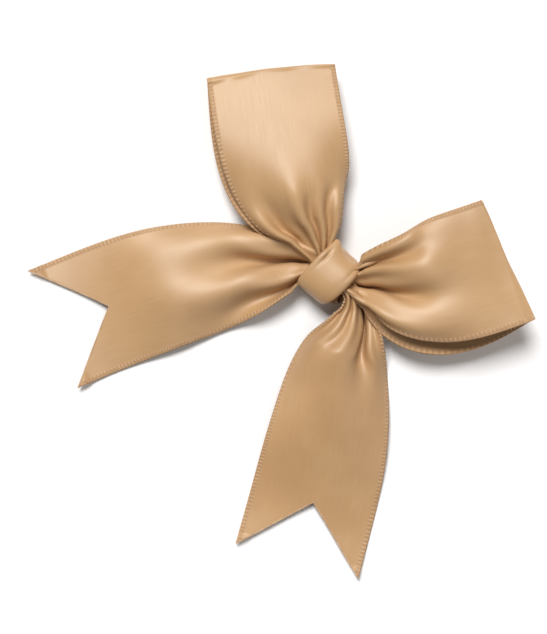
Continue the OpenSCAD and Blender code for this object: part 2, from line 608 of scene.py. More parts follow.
@dataclass(frozen=True)
class Satin:
    """Champagne satin: a smooth warp face whose sheen runs across the ribbon.

    Attributes:
        name: the material's name.
        face: colour of the face.
        deep: colour of its darker places.
        light: colour of its lighter places.
        roughness: roughness of the plain face.
        anisotropy: how far the highlights stretch across the yarns.
        sheen: strength of the fibres' sheen.
        sheen_roughness: how wide that sheen spreads.
        specular: strength of the highlights.
        specular_tint: colour of the highlights.
        yarn: distance between warp yarns.
        float_length: length of a float between its binding points.
        grain: strength and height of the yarns' relief.
        ribbing: strength and height of the selvedge ribs' relief.
    """

    name: str
    face: tuple[float, float, float, float]
    deep: tuple[float, float, float, float]
    light: tuple[float, float, float, float]
    roughness: float
    anisotropy: float
    sheen: float
    sheen_roughness: float = 0.45
    specular: float = 0.72
    specular_tint: tuple[float, float, float, float] = (1.0, 0.96, 0.90, 1.0)
    yarn: float = 0.11
    float_length: float = 0.9
    grain: tuple[float, float] = (0.16, 0.02)
    ribbing: tuple[float, float] = (0.6, 0.08)

    def build(self, weave: bpy.types.NodeTree, wear: bpy.types.NodeTree) -> bpy.types.Material:
        """Makes the material.

        Args:
            weave: the satin weave group.
            wear: the ribbon wear group.

        Returns:
            The new material.
        """
        material, nodes, shader = new_material(self.name, self.face)
        cloth = nodes.add("ShaderNodeUVMap", uv_map=RIBBON_UV).outputs[0]
        woven = nodes.add("ShaderNodeGroup", node_tree=weave)
        nodes.fill(woven, {"Cloth": cloth, "Yarn": self.yarn, "Float Length": self.float_length})
        worn = nodes.add("ShaderNodeGroup", node_tree=wear)
        edges = {"Half Width": STOCK.width / 2, "Band": STOCK.selvedge, "Pitch": STOCK.rib_pitch}
        nodes.fill(worn, {"Cloth": cloth, **edges})
        masks = {
            "streaks": nodes.span(woven.outputs["Streaks"], 0.3, 0.7, 0.0, 1.0),
            "uneven": nodes.span(worn.outputs["Uneven"], 0.35, 0.7, 0.0, 1.0),
            "binding": woven.outputs["Binding"],
            "selvedge": worn.outputs["Selvedge"],
            "rib": worn.outputs["Rib"],
            "crease": nodes.add("ShaderNodeAttribute", attribute_name=CREASE).outputs["Fac"],
            "underside": nodes.add("ShaderNodeAttribute", attribute_name=UNDERSIDE).outputs["Fac"],
        }
        base, rough = self.face, self.roughness
        for name, change in SATIN_CHANGES.items():
            tint = self.light if change.lighter else self.deep
            base = nodes.blend(nodes.math("MULTIPLY", masks[name], change.tint), base, tint)
            if change.rough:
                rough = nodes.math("ADD", rough, nodes.math("MULTIPLY", masks[name], change.rough))
        grain = nodes.relief(self.grain, woven.outputs["Height"])
        ribbed = nodes.relief(self.ribbing, worn.outputs["Rib"], {"Normal": grain})
        tangent = nodes.add("ShaderNodeTangent", direction_type="UV_MAP", uv_map=RIBBON_UV)
        finish = {
            "Base Color": base,
            "Roughness": rough,
            "Normal": ribbed,
            "Tangent": tangent.outputs[0],
            "Anisotropic": self.anisotropy,
            "Specular IOR Level": self.specular,
            "Specular Tint": self.specular_tint,
            "Sheen Weight": self.sheen,
            "Sheen Roughness": self.sheen_roughness,
            "Sheen Tint": self.light,
        }
        nodes.fill(shader, finish)
        return material


@dataclass(frozen=True)
class EdgeYarn:
    """Duller, close-packed yarn of the ribs along the selvedges and the sealed cut ends.

    Attributes:
        name: the material's name.
        face: its colour.
        deep: colour of its darker places.
        fibre_scale: fineness of the fibres, per metre.
        patch_scale: fineness of the darker patches, per metre.
        roughness: its lowest and highest roughness.
        relief: strength and height of the fibres' relief.
    """

    name: str
    face: tuple[float, float, float, float]
    deep: tuple[float, float, float, float]
    fibre_scale: float = 2600.0
    patch_scale: float = 420.0
    roughness: tuple[float, float] = (0.48, 0.62)
    relief: tuple[float, float] = (0.35, 0.03)

    def build(self) -> bpy.types.Material:
        """Makes the material.

        Returns:
            The new material, patterned on the object's own coordinates.
        """
        material, nodes, shader = new_material(self.name, self.face)
        own = nodes.add("ShaderNodeTexCoord").outputs["Object"]
        noise = "ShaderNodeTexNoise"
        fibres = nodes.add(noise, {"Vector": own, "Scale": self.fibre_scale, "Detail": 3.0}).outputs[0]
        patches = nodes.add(noise, {"Vector": own, "Scale": self.patch_scale}).outputs[0]
        base = nodes.blend(nodes.span(patches, 0.35, 0.65, 0.0, 0.5), self.face, self.deep)
        base = nodes.blend(nodes.span(fibres, 0.4, 0.7, 0.0, 0.25), base, self.deep)
        finish = {
            "Base Color": base,
            "Roughness": nodes.span(fibres, 0.3, 0.7, *self.roughness),
            "Normal": nodes.relief(self.relief, fibres),
            "Specular IOR Level": 0.5,
            "Sheen Weight": 0.25,
        }
        nodes.fill(shader, finish)
        return material


@dataclass
class Wardrobe:
    """The finishes of the bow, built once."""

    satin: bpy.types.Material
    edge: bpy.types.Material

    @classmethod
    def build(cls) -> Wardrobe:
        """Makes every finish.

        Returns:
            The finished wardrobe.
        """
        satin = Satin(
            name="champagne satin",
            face=colour(187, 147, 102),
            deep=colour(140, 97, 58),
            light=colour(200, 165, 126),
            roughness=0.44,
            anisotropy=0.6,
            sheen=0.25,
        )
        edge = EdgeYarn(name="selvedge yarn", face=colour(200, 166, 128), deep=colour(150, 110, 74))
        return cls(satin.build(satin_weave_group(), edge_wear_group()), edge.build())


# ---- repeated trim by geometry nodes ---------------------------------------------------------


def grow(
    name: str, mesh: bpy.types.Mesh, tree: bpy.types.NodeTree, values: dict[str, object]
) -> bpy.types.Object:
    """Runs a geometry nodes tree on a mesh and keeps what it makes as a plain mesh.

    Args:
        name: the piece's name.
        mesh: what the tree starts from.
        tree: the tree.
        values: its inputs by name, set by their sockets' identifiers.

    Returns:
        The piece, without a modifier.
    """
    piece = new_piece(name, mesh)
    modifier = piece.modifiers.new(tree.name, "NODES")
    modifier.node_group = tree
    for item in tree.interface.items_tree:
        if item.item_type == "SOCKET" and item.in_out == "INPUT" and item.name in values:
            modifier[item.identifier] = values[item.name]
    depsgraph = bpy.context.evaluated_depsgraph_get()
    made = bpy.data.meshes.new_from_object(piece.evaluated_get(depsgraph))
    piece.modifiers.clear()
    piece.data = made
    made.name = name
    bpy.data.meshes.remove(mesh)
    return piece


class RibTrim:
    """Raised cross ribs of the woven selvedge, set along both edges of a stretch of ribbon."""

    def __init__(
        self,
        length: float = 0.85,
        width: float = 0.46,
        height: float = 0.46,
        inset: float = 0.12,
        uneven: float = 0.14,
    ) -> None:
        """Builds the node tree.

        Args:
            length: size of a rib across the ribbon.
            width: size of a rib along the ribbon.
            height: size of a rib through the ribbon, so that it stands out on both faces.
            inset: how far inside the ribbon's edge a rib ends.
            uneven: how much the sizes of the ribs differ.
        """
        self.size = (length, width, height)
        self.inset = inset
        self.uneven = uneven
        self.tree = self._tree()

    @staticmethod
    def _tree() -> bpy.types.NodeTree:
        """Instances one rounded rib on every point, turned by the point's own rotation.

        Returns:
            The geometry tree.
        """
        tree, nodes, source = new_group(
            "selvedge ribs",
            "GeometryNodeTree",
            {
                "Geometry": "Geometry",
                "Rib Size": "Vector",
                "Unevenness": "Float",
                "Seed": "Int",
                "Material": "Material",
            },
            {"Geometry": "Geometry"},
        )
        rib = nodes.add("GeometryNodeMeshUVSphere", {"Segments": 6, "Rings": 4, "Radius": 0.5})
        turn = nodes.add("GeometryNodeInputNamedAttribute", {"Name": "turn"}, data_type="FLOAT_VECTOR")
        spread = source.outputs["Unevenness"]
        limits = {0: nodes.math("SUBTRACT", 1.0, spread), 1: nodes.math("ADD", 1.0, spread)}
        uneven = nodes.add("FunctionNodeRandomValue", data_type="FLOAT_VECTOR")
        nodes.fill(uneven, {**limits, "Seed": source.outputs["Seed"]})
        size = nodes.add("ShaderNodeVectorMath", operation="MULTIPLY")
        nodes.fill(size, {0: uneven.outputs[0], 1: source.outputs["Rib Size"]})
        copies = nodes.add(
            "GeometryNodeInstanceOnPoints",
            {
                "Points": source.outputs["Geometry"],
                "Instance": rib.outputs["Mesh"],
                "Rotation": turn.outputs["Attribute"],
                "Scale": size.outputs[0],
            },
        )
        nodes.end_geometry(copies.outputs[0], source.outputs["Material"])
        return tree

    def build(
        self, name: str, cloth: Cloth, start: float, stop: float, seed: int, yarn: bpy.types.Material
    ) -> bpy.types.Object:
        """Sets ribs along both edges of a cloth.

        Args:
            name: the piece's name.
            cloth: the stretch of ribbon.
            start: where the ribs start.
            stop: how far before the cloth's end they stop.
            seed: seed of the ribs' unevenness.
            yarn: their material.

        Returns:
            One plain mesh with all the ribs.
        """
        inset = (STOCK.width - self.size[0]) / 2 - self.inset
        points, turns = [], []
        for side in (-inset, inset):
            column = (side / STOCK.width + 0.5) * (STOCK.columns - 1)
            edge_along = cloth.along[:, round(column)]
            count = int((edge_along.max() - start - stop - STOCK.rib_pitch) / STOCK.rib_pitch)
            spots = cloth.spots(start + STOCK.rib_pitch * (np.arange(count) + 0.5), column)
            for point, forward, normal in zip(spots["point"], spots["forward"], spots["normal"]):
                sideways = np.cross(forward, normal)
                axes = Matrix((sideways, forward, np.cross(sideways, forward))).transposed()
                points.append(point * MM)
                turns.append(axes.to_euler())
        mesh = bpy.data.meshes.new(name)
        mesh.from_pydata([tuple(p) for p in points], [], [])
        attribute = mesh.attributes.new("turn", "FLOAT_VECTOR", "POINT")
        attribute.data.foreach_set("vector", np.array(turns, np.float32).ravel())
        sizes = tuple(s * MM for s in self.size)
        values = {"Rib Size": sizes, "Unevenness": self.uneven, "Seed": seed, "Material": yarn}
        return grow(name, mesh, self.tree, values)


class CutBead:
    """The thin sealed bead that a hot cut leaves along a ribbon's end."""

    def __init__(self, radius: float = 0.2) -> None:
        """Keeps the bead's radius and builds the node tree."""
        self.radius = radius
        self.tree = self._tree()

    @staticmethod
    def _tree() -> bpy.types.NodeTree:
        """Sweeps a small round section along the line of the cut.

        Returns:
            The geometry tree.
        """
        tree, nodes, source = new_group(
            "sealed cut",
            "GeometryNodeTree",
            {"Geometry": "Geometry", "Bead Radius": "Float", "Material": "Material"},
            {"Geometry": "Geometry"},
        )
        line = nodes.add("GeometryNodeMeshToCurve", {0: source.outputs["Geometry"]})
        ring = nodes.add("GeometryNodeCurvePrimitiveCircle", {"Resolution": 8})
        nodes.fill(ring, {"Radius": source.outputs["Bead Radius"]})
        ends = {"Curve": line.outputs[0], "Profile Curve": ring.outputs[0], "Fill Caps": True}
        tube = nodes.add("GeometryNodeCurveToMesh", ends)
        nodes.end_geometry(tube.outputs[0], source.outputs["Material"])
        return tree

    def build(self, name: str, line: np.ndarray, yarn: bpy.types.Material) -> bpy.types.Object:
        """Lays the bead along a line.

        Args:
            name: the piece's name.
            line: points of the cut, in millimetres.
            yarn: the bead's material.

        Returns:
            The bead as a plain mesh.
        """
        mesh = bpy.data.meshes.new(name)
        edges = [(i, i + 1) for i in range(len(line) - 1)]
        mesh.from_pydata((line * MM).tolist(), edges, [])
        return grow(name, mesh, self.tree, {"Bead Radius": self.radius * MM, "Material": yarn})


@dataclass
class Workshop:
    """What every sub-assembly is dressed with."""

    wardrobe: Wardrobe
    ribs: RibTrim
    bead: CutBead


# ---- the knot's hollow -----------------------------------------------------------------------


@dataclass(frozen=True)
class WrapShape:
    """Cross-section of the knot's wrap, and where it presses on the strands inside.

    Attributes:
        squareness: how square the cross-section is; 1 is an ellipse.
        wrap_half: half the visible width of the wrap at the front.
        side_half: half its width where it turns down, at its upper and its lower end.
        play: share of the cross-section that the strands inside fill.
        forward: how far its middle lies towards +Y from the middle of the CAD wrap.
        back_room: room left behind it for the strand at the back.
        mouth: how far inside and past its edges the pressing fades.
        let_go: distances from an arm's bend between which it is let go; below 0 is towards the knot.
    """

    squareness: float = 0.86
    wrap_half: float = 4.15
    side_half: tuple[float, float] = (2.5, 3.3)
    play: float = 0.80
    forward: float = 0.4
    back_room: float = 0.55
    mouth: tuple[float, float] = (0.2, 1.4)
    let_go: tuple[float, float] = (-4.4, -1.2)

    def centre(self) -> np.ndarray:
        """Middle of the cross-section, in millimetres."""
        low, high = box_mm("knot_wrap")
        return (low + high) / 2 + np.array([0.0, self.forward, 0.0])

    def depth(self) -> float:
        """Half the wrap's size between its upper and its lower end."""
        low, high = box_mm("knot_wrap")
        return (high[1] - low[1]) / 2 - STOCK.thickness / 2

    def rise(self) -> tuple[float, float]:
        """Distances from the wrap's middle to its front and to its back.

        Returns:
            Both distances, in millimetres.
        """
        low, high = box_mm("knot_wrap")
        centre = self.centre()[2]
        return high[2] - STOCK.thickness / 2 - centre, centre - low[2] - self.back_room

    def outline(self, angle: np.ndarray) -> tuple[np.ndarray, np.ndarray]:
        """Points of the cross-section.

        Args:
            angle: angles round the knot; 90 degrees is the front.

        Returns:
            Their places along Y and Z.
        """
        cosine, sine = np.cos(angle), np.sin(angle)
        front, back = self.rise()
        centre = self.centre()
        y = centre[1] + self.depth() * np.sign(cosine) * np.abs(cosine) ** self.squareness
        z = centre[2] + np.where(sine > 0, front, back) * np.sign(sine) * np.abs(sine) ** self.squareness
        return y, z

    def press(self, grid: np.ndarray, distances: np.ndarray) -> np.ndarray:
        """Presses strands together where they pass through the wrap.

        Args:
            grid: points [row, column, xyz].
            distances: place of each row along its arm; below 0 is towards the knot.

        Returns:
            The pressed grid.
        """
        centre = self.centre()
        y, z = grid[..., 1] - centre[1], grid[..., 2] - centre[2]
        front, back = self.rise()
        tall = np.where(z > 0, front, back)
        power = 2 / self.squareness
        size = (np.abs(y / self.depth()) ** power + np.abs(z / tall) ** power) ** (1 / power)
        within, past = self.mouth
        inside = 1 - smooth(np.abs(grid[..., 0]), self.wrap_half - within, self.wrap_half + past)
        inside = inside * (1 - smooth(distances, *self.let_go))[:, None]
        soft = self.play * np.tanh(size / self.play)
        ratio = 1 - inside * (1 - soft / np.maximum(size, 1e-6))
        pressed = grid.copy()
        pressed[..., 1] = centre[1] + y * ratio
        pressed[..., 2] = centre[2] + z * ratio
        return pressed


WRAP = WrapShape()


# ---- arms ------------------------------------------------------------------------------------


class Bend:
    """Where an arm leaves the knot: its joint, read from the frame."""

    def __init__(self, joint_name: str) -> None:
        """Finds the joint.

        Args:
            joint_name: the joint's name in the record.
        """
        joint = next(j for j in frame["joints"] if j["name"] == joint_name)
        axis = joint["axis"]
        self.at = np.array(joint["pos_m"]) / MM
        self.out = np.array([-axis[1], axis[0], 0.0])
        self.left = np.array([-self.out[1], self.out[0], 0.0])
        self.body = joint["child"]

    def reach(self, node: str) -> float:
        """Distance along the arm from the bend to the far end of a CAD node."""
        points = np.array([v.co for v in frame["nodes"][node].data.vertices]) / MM
        return float(((points - self.at) @ self.out).max())

    def place(self, x: np.ndarray, y: np.ndarray, z: np.ndarray) -> np.ndarray:
        """Turns distances outwards, to the left and up into points of the frame."""
        up = np.array([0.0, 0.0, 1.0])
        return self.at + x[:, None] * self.out + y[:, None] * self.left + z[:, None] * up

    def turn(self, piece: bpy.types.Object, before: float = 2.6, after: float = 5.0) -> None:
        """Bakes the piece's placement into its mesh.

        Args:
            piece: the finished piece.
            before: not used.
            after: not used.
        """
        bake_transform(piece)


@dataclass
class Arm:
    """One arm of the bow: what a loop and a tail have in common.

    Attributes:
        name: the arm's name.
        joint: its joint in the record.
        entry: where the ribbon enters the arm, as shares of the wrap's half sizes from its centre.
        pleats: the families of pleats that leave the knot.
        mouth_half: half the span inside the knot.
        mouth_at: where the arm starts to open, from the bend.
        open_over: distance over which it opens out.
        open_power: how late it opens.
        arch: strength of the round bend across the ribbon, against the pleats.
        arch_from: distance at which the round bend has grown.
        root_shift: how far the middle lies to the left at the bend.
        shift_fade: distance over which that shift dies away.
        sweep: how far the middle sweeps to the left along the arm.
        crisp: how sharp the pleats' ridges are at the knot and far from it.
        crisp_fade: distance over which that sharpness changes.
        fade_power: how suddenly a family of pleats dies away.
        arch_starts: distance at which the round bend starts.
        flat_from: where along the arm it starts to lie flat, from 0 to 1.
    """

    name: str
    joint: str
    entry: tuple[float, float, float]
    pleats: tuple[Pleat, ...]
    mouth_half: float = 2.6
    mouth_at: float = -4.6
    open_over: float = 9.5
    open_power: float = 1.6
    arch: float = 1.0
    arch_from: float = 14.0
    root_shift: float = 0.0
    shift_fade: float = 6.0
    sweep: float = 0.0
    crisp: tuple[float, float] = (1.9, 1.1)
    crisp_fade: float = 6.0
    fade_power: float = 1.4
    arch_starts: float = -2.0
    flat_from: float = 0.4

    def half_span(self, x: np.ndarray, length: float) -> np.ndarray:
        """Half the span of the arm at distances from the bend.

        Args:
            x: distances along the arm; below 0 is towards the knot.
            length: the arm's length.

        Returns:
            Half the width that the cloth spans there.
        """
        full = STOCK.width / 2 * WIDEST_SPAN
        travel = np.maximum(x - self.mouth_at, 0) / self.open_over
        opened = self.mouth_half + (full - self.mouth_half) * (1 - np.exp(-(travel**self.open_power)))
        flat = smooth(x / length, self.flat_from, 1.0)
        return opened * (1 - flat) + full * flat

    def waves(self, x: np.ndarray, side: np.ndarray) -> np.ndarray:
        """Slope pattern of the pleats and the round bend.

        Args:
            x: distances along the arm.
            side: 1 where the edges droop down, -1 where they turn up, 0 where they lie flat.

        Returns:
            The pattern [row, column], between -1 and 1.
        """
        across = STOCK.across / STOCK.width
        total = np.zeros((len(x), STOCK.columns))
        for pleat in self.pleats:
            strength = pleat.weight * np.exp(-((np.maximum(x, 0) / pleat.fade) ** self.fade_power))
            beside = across - pleat.valley / STOCK.width
            near = spot(beside * STOCK.width, 0.0, pleat.spread)
            total += strength[:, None] * near * np.sin(2 * math.pi * pleat.count * beside)
        bend = self.arch * smooth(x, self.arch_starts, self.arch_from) * side
        total -= 2 * bend[:, None] * across
        total += LEAST_WAVE * np.cos(4 * math.pi * across)
        return total / np.abs(total).max(axis=1, keepdims=True)

    def sections(self, x: np.ndarray, side: np.ndarray, length: float) -> tuple[np.ndarray, np.ndarray]:
        """Folded sections of the arm.

        Args:
            x: distances along the arm.
            side: which way the edges turn, for each section.
            length: the arm's length.

        Returns:
            Place across and height of every column.
        """
        root, far = self.crisp
        crisp = far + (root - far) * np.exp(-np.maximum(x - self.mouth_at, 0) / self.crisp_fade)
        return fold_sections(2 * self.half_span(x, length), self.waves(x, side), crisp)

    @staticmethod
    def drape(path: np.ndarray, sideways: np.ndarray, height: np.ndarray) -> np.ndarray:
        """Hangs folded sections on a path that runs outwards.

        Args:
            path: the middle line [row, 3].
            sideways: places across.
            height: heights.

        Returns:
            The grid [row, column, 3].
        """
        forward = unit(np.gradient(path, axis=0))
        left = unit(np.cross(np.array([0.0, 0.0, 1.0]), forward))
        up = np.cross(forward, left)
        return path[:, None] + sideways[..., None] * left[:, None] + height[..., None] * up[:, None]

    def lead_in(self, bend: Bend, first: np.ndarray, ahead: np.ndarray, lift: float) -> np.ndarray:
        """Curve from inside the knot to the first point of the arm proper.

        Args:
            bend: the arm's bend.
            first: the arm's first point.
            ahead: direction of the arm there.
            lift: height of this layer above the middle of the entry.

        Returns:
            Points [row, 3], without the first point itself.
        """
        side = math.copysign(1.0, bend.at[0])
        low, high = box_mm("knot_wrap")
        share = np.array([side, 1.0, 1.0]) * np.array(self.entry)
        begin = (low + high) / 2 + share * (high - low) / 2 + np.array([0, 0, lift])
        reach = np.linalg.norm(first - begin)
        chord = (first - begin) / reach
        mouth = 2 * (ahead @ chord) * chord - ahead
        t = np.linspace(0, 1, 20, endpoint=False)[:, None]
        return (
            (2 * t**3 - 3 * t**2 + 1) * begin
            + (t**3 - 2 * t**2 + t) * mouth * reach
            + (3 * t**2 - 2 * t**3) * first
            + (t**3 - t**2) * ahead * reach
        )

    def shift(self, x: np.ndarray, length: float) -> np.ndarray:
        """How far the middle line lies to the left of a straight arm."""
        swept = self.sweep * np.sin(math.pi * x / length)
        return self.root_shift * spot(x, 0.0, self.shift_fade) + swept

    def ribbon_and_ribs(
        self, shop: Workshop, seed: int, cloth: Cloth, stop: float
    ) -> tuple[bpy.types.Object, bpy.types.Object]:
        """Makes the arm's ribbon, and the ribs along its edges.

        Args:
            shop: finishes and trim.
            seed: seed of the ribs.
            cloth: the arm's cloth.
            stop: how far before the cloth's end the ribs stop.

        Returns:
            The ribbon and the ribs.
        """
        ribbon = cloth.make(f"{self.name}_ribbon")
        ribbon.data.materials.append(shop.wardrobe.satin)
        edge = shop.wardrobe.edge
        return ribbon, shop.ribs.build(f"{self.name}_selvedge_ribs", cloth, RIBS_FROM, stop, seed, edge)


@dataclass
class Loop(Arm):
    """A loop: one stretch of ribbon out to a pressed crease and back.

    Attributes:
        gap: clear space between its leaves at the widest.
        rise: rise of the crease above the bend.
        crease_bow: how far the middle of the crease stands out.
        back_shift: how far the back leaf lies to the left of the front leaf.
        nest: distance between the leaves where their pleats lie in each other.
        crease_radius: inner radius of the crease.
        rows: rows of the mesh along a leaf.
        belly: how near the knot the leaves part most (below 1 is nearer), and how late they part.
        closed_by: where along the loop the leaves have come from their nest to the crease.
        rise_power: how late the crease's rise comes.
        back_power: how late the back leaf's shift comes.
        lead_share: share of the nest by which a leaf stands off the middle inside the knot.
        edges_flat: between which shares of the loop its turned edges come to lie flat.
    """

    gap: float = 6.0
    rise: float = 0.0
    crease_bow: float = 0.7
    back_shift: float = 0.0
    nest: float = 1.3
    crease_radius: float = 0.32
    rows: int = 90
    belly: tuple[float, float] = (0.82, 1.1)
    closed_by: float = 0.9
    rise_power: float = 1.3
    back_power: float = 1.2
    lead_share: float = 0.4
    edges_flat: tuple[float, float] = (0.4, 1.0)

    def leaf(self, bend: Bend, length: float, layer: Layer) -> np.ndarray:
        """One leaf from inside the knot to the start of the crease.

        Args:
            bend: the loop's bend.
            length: distance from the bend to the crease.
            layer: which leaf.

        Returns:
            The grid [row, column, 3], running outwards.
        """
        x = np.linspace(0, length - self.crease_radius, self.rows)
        part = x / length
        lean, power = self.belly
        belly = np.sin(math.pi * part**lean) ** power * self.gap
        closed = smooth(part, 0.0, self.closed_by)
        apart = self.nest + (2 * self.crease_radius - self.nest) * closed + belly
        z = self.rise * part**self.rise_power + layer.value * apart / 2
        y = self.shift(x, length)
        if layer is Layer.BACK:
            y = y + self.back_shift * np.sin(math.pi * part) ** self.back_power
        path = bend.place(x, y, z)
        first = path[0]
        lift = layer.value * self.nest * self.lead_share
        lead = self.lead_in(bend, first, unit(path[1] - path[0]), lift)
        distances = np.concatenate([-np.linalg.norm(lead - first, axis=1), x])
        side = layer.value * (1 - smooth(distances / length, *self.edges_flat))
        sideways, height = self.sections(distances, side, length)
        grid = self.drape(np.concatenate([lead, path]), sideways, height)
        stretch = np.clip(distances / length, 0, 1) ** 4
        bow = self.crease_bow * (1 - (2 * STOCK.across / STOCK.width) ** 2)
        bowed = grid + stretch[:, None, None] * bow[None, :, None] * bend.out
        return rest_on_surface(WRAP.press(bowed, distances))

    def cloth(self) -> Cloth:
        """The whole loop as one cloth, front leaf first.

        Returns:
            The cloth.
        """
        bend = Bend(self.joint)
        length = bend.reach(f"{self.name}_front")
        front = self.leaf(bend, length, Layer.FRONT)
        back = self.leaf(bend, length, Layer.BACK)
        middle = (front[-1] + back[-1]) / 2
        half = (front[-1] - back[-1]) / 2
        turns = np.linspace(0, math.pi, 11)[1:-1]
        crease = np.stack(
            [middle + half * math.cos(t) + bend.out * self.crease_radius * math.sin(t) for t in turns]
        )
        grid = np.concatenate([front, crease, back[::-1]])
        return Cloth(grid, crease_at=len(front) + len(crease) / 2)

    def build(self, shop: Workshop, seed: int) -> list[bpy.types.Object]:
        """Builds and dresses the loop.

        Args:
            shop: finishes and trim.
            seed: seed of its ribs.

        Returns:
            The loop's pieces.
        """
        bend = Bend(self.joint)
        cloth = self.cloth()
        ribbon, ribs = self.ribbon_and_ribs(shop, seed, cloth, RIBS_FROM)
        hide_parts(f"{self.name}_front", f"{self.name}_back")
        for piece in (ribbon, ribs):
            bend.turn(piece)
        return [ribbon, ribs]


@dataclass
class Tail(Arm):
    """A tail with a V cut in its end.

    Attributes:
        notch: depth of the V cut.
        wave: height of its soft wave.
        wave_at: where along the tail the wave is highest, from 0 to 1.
        tip_curl: how far its tips lift.
        root_height: height of its middle above the surface at the bend.
        rows: rows of the mesh along the tail.
        settle_over: distance over which it comes down from the knot.
        wave_length: size of the wave, as a share of the tail.
        curl_from: where along the tail its tips start to lift.
        edges_flat: between which shares of the tail its drooping edges come to lie flat.
        cut_slack: distance over which the mesh is gathered towards the cut.
    """

    notch: float = 12.0
    wave: float = 1.4
    wave_at: float = 0.5
    tip_curl: float = 0.0
    root_height: float = 1.9
    rows: int = 120
    settle_over: float = 9.0
    wave_length: float = 0.2
    curl_from: float = 0.75
    edges_flat: tuple[float, float] = (0.6, 0.97)
    cut_slack: float = 6.0

    def cloth(self) -> Cloth:
        """The tail as one cloth, from inside the knot to its cut end.

        Returns:
            The cloth.
        """
        bend = Bend(self.joint)
        length = bend.reach(self.name)
        x = np.linspace(0, length, self.rows)
        part = x / length
        settle = spot(x, 0.0, self.settle_over)
        crest = spot(part, self.wave_at, self.wave_length)
        lift = self.tip_curl * smooth(part, self.curl_from, 1.0) ** 2
        rest = STOCK.thickness / 2 + 0.05
        z = rest + (self.root_height - rest) * settle + self.wave * crest + lift - bend.at[2]
        path = bend.place(x, self.shift(x, length), z)
        lead = self.lead_in(bend, path[0], unit(path[1] - path[0]), 0.0)
        distances = np.concatenate([-np.linalg.norm(lead - path[0], axis=1), x])
        side = 1 - smooth(distances / length, *self.edges_flat)
        sideways, height = self.sections(distances, side, length)
        grid = self.drape(np.concatenate([lead, path]), sideways, height)
        cloth = Cloth(rest_on_surface(WRAP.press(grid, distances)))
        edge = np.abs(STOCK.across) / (STOCK.width / 2)
        cloth.cut(cloth.length - self.notch * (1 - edge), self.cut_slack)
        return cloth

    def build(self, shop: Workshop, seed: int) -> list[bpy.types.Object]:
        """Builds and dresses the tail.

        Args:
            shop: finishes and trim.
            seed: seed of its ribs.

        Returns:
            The tail's pieces.
        """
        bend = Bend(self.joint)
        cloth = self.cloth()
        ribbon, ribs = self.ribbon_and_ribs(shop, seed, cloth, 0.0)
        bead = shop.bead.build(f"{self.name}_sealed_cut", cloth.grid[-1], shop.wardrobe.edge)
        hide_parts(self.name)
        for piece in (ribbon, ribs, bead):
            bend.turn(piece)
        return [ribbon, ribs, bead]


# ---- knot ------------------------------------------------------------------------------------


def rolled_section(
    halves: tuple[np.ndarray, np.ndarray], radii: tuple[float, float], crown: float
) -> tuple[np.ndarray, np.ndarray]:
    """Sections of a band whose edges are rolled under, with the rest of the cloth gathered below.

    Args:
        halves: width of each section to the right edge and to the left edge.
        radii: radius of the right and the left roll.
        crown: how far the face slopes down at its edges, in radians.

    Returns:
        Place across and height of every column, with the middle at 0.
    """
    across = STOCK.across[None, :]
    step = STOCK.across[1] - STOCK.across[0]
    slope = np.zeros((len(halves[0]), STOCK.columns))
    for sign, half, radius in zip((-1.0, 1.0), halves, radii):
        beside = sign * across
        past = beside - half[:, None] + radius
        turned = (math.pi - crown) * np.clip(past / (math.pi * radius), 0, 1)
        dome = crown * np.clip(beside / half[:, None], 0, 1) ** 3
        flap = STOCK.width / 2 - half - (math.pi - 1) * radius
        steep = np.arccos(np.minimum(1, half / flap))[:, None]
        below = past - math.pi * radius
        zigzag = np.where(below > 0, np.tanh(UNDER_CRISP * np.sin(math.pi * below / UNDER_PLEAT)), 0)
        slope -= sign * (dome + turned - steep * zigzag)
    middle = STOCK.columns // 2
    sideways = running_sum(np.cos(slope), step)
    height = running_sum(np.sin(slope), step)
    return sideways - sideways[:, middle : middle + 1], height - height[:, middle : middle + 1]


@dataclass(frozen=True)
class Dimple:
    """A soft dent or swelling of the wrap.

    Attributes:
        across: its place across the wrap.
        width: its size across the wrap.
        angle: its place round the knot, in radians; a quarter turn is the front.
        reach: its size round the knot, in radians.
        height: how far it stands out; below 0 it is a dent.
    """

    across: float
    width: float
    angle: float
    reach: float
    height: float

    def at(self, across: np.ndarray, angle: np.ndarray) -> np.ndarray:
        """How far it stands out at places on the wrap."""
        return self.height * spot(across, self.across, self.width) * spot(angle, self.angle, self.reach)


SLIT = Dimple(-2.9, 0.26, 1.24, 0.26, -0.65)
LIP = Dimple(-3.7, 0.5, 1.24, 0.34, 0.3)
RIM = Dimple(2.9, 0.34, 0.90, 0.42, -0.4)
TIP = Dimple(-3.2, 1.3, 0.62, 0.30, 1.3)
SCOOP = Dimple(0.6, 1.7, 0.36, 0.34, -0.7)


